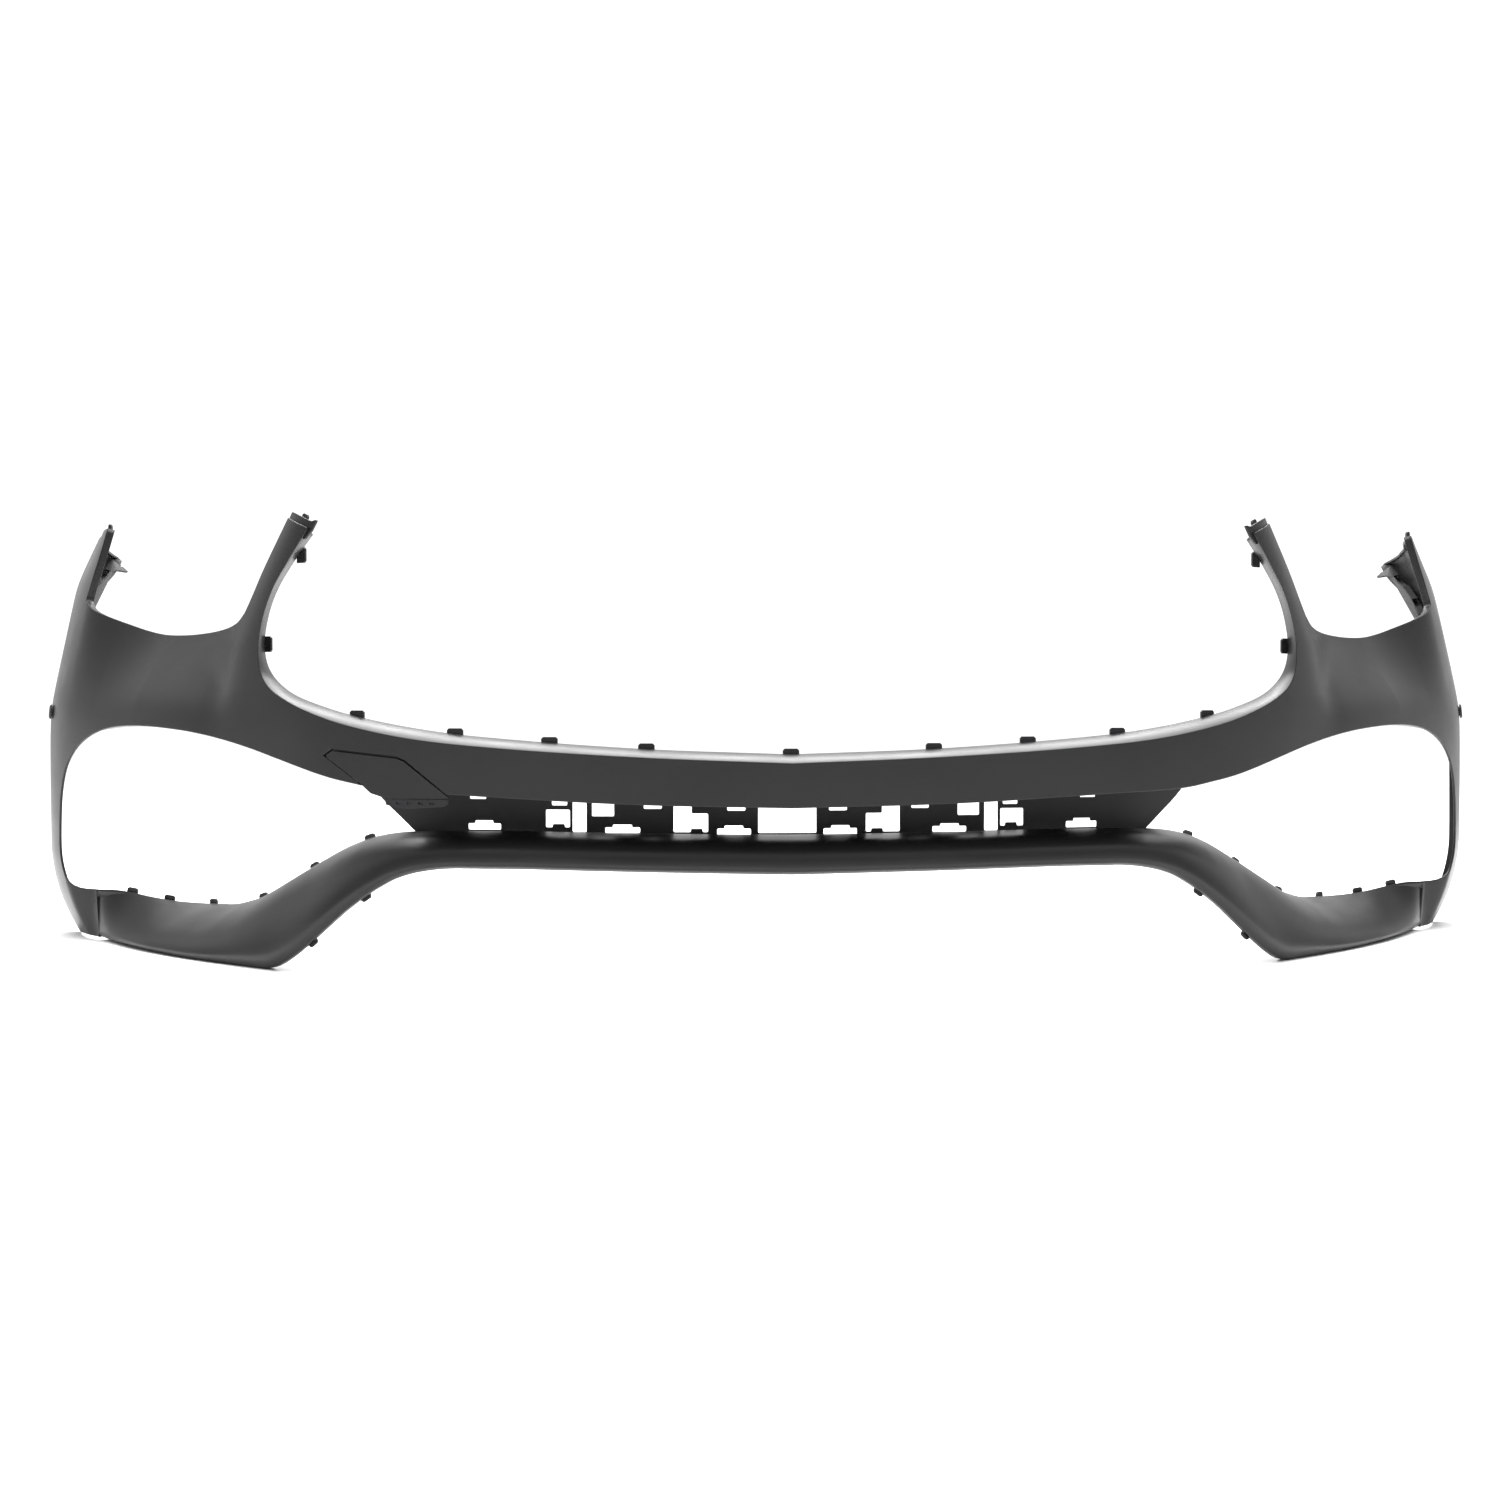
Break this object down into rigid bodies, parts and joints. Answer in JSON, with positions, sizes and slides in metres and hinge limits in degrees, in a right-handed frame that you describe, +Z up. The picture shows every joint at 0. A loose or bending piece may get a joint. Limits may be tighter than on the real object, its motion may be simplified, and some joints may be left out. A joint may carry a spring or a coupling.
{
  "type": "front bumper cover",
  "caption": "Front bumper cover in satin primer: slim beam under an open grille bay, two arms, headlamp shelves, large side intakes, lower bar, windowed centre carrier and hinged tow-eye cover.",
  "frame": {"origin": "on the ground, in the middle of the overall box", "axes": "+X to the right as seen from in front, along the width; +Y rearwards; +Z up"},
  "size_m": [1.827, 0.6686, 0.5072],
  "materials": {
    "primer": "satin dark grey primer on moulded plastic",
    "black_plastic": "matt black, fine moulded grain"
  },
  "bodies": {
    "cover": {"upper_cover": "primer", "lower_bar": "primer", "centre_carrier": "black_plastic", "grille_clip_centre": "black_plastic", "grille_clip_left_1": "black_plastic", "grille_clip_right_1": "black_plastic", "grille_clip_left_2": "black_plastic", "grille_clip_right_2": "black_plastic", "grille_clip_left_3": "black_plastic", "grille_clip_right_3": "black_plastic", "grille_clip_left_4": "black_plastic", "grille_clip_right_4": "black_plastic", "side_bracket_left": "black_plastic", "side_plug_left": "black_plastic", "arm_tip_clip_left": "black_plastic", "arm_clip_left_1": "black_plastic", "arm_clip_left_2": "black_plastic", "intake_clip_left_1": "black_plastic", "intake_clip_left_2": "black_plastic", "intake_clip_left_3": "black_plastic", "intake_clip_left_4": "black_plastic", "intake_clip_left_5": "black_plastic", "intake_clip_left_6": "black_plastic", "tray_clip_left_1": "black_plastic", "tray_clip_left_2": "black_plastic", "side_bracket_right": "black_plastic", "side_plug_right": "black_plastic", "arm_tip_clip_right": "black_plastic", "arm_clip_right_1": "black_plastic", "arm_clip_right_2": "black_plastic", "intake_clip_right_1": "black_plastic", "intake_clip_right_2": "black_plastic", "intake_clip_right_3": "black_plastic", "intake_clip_right_4": "black_plastic", "intake_clip_right_5": "black_plastic", "intake_clip_right_6": "black_plastic", "tray_clip_right_1": "black_plastic", "tray_clip_right_2": "black_plastic"},
    "tow_flap": {"tow_cover": "primer", "tow_cover_latch": "black_plastic"}
  },
  "joints": [
    {"name": "tow_cover_hinge", "type": "hinge", "parent": "cover", "child": "tow_flap", "pos_m": [-0.44049, -0.28698, 0.2369], "axis": [-0.9327, 0.3485, 0.0931], "range_deg": [0, 95]}
  ]
}
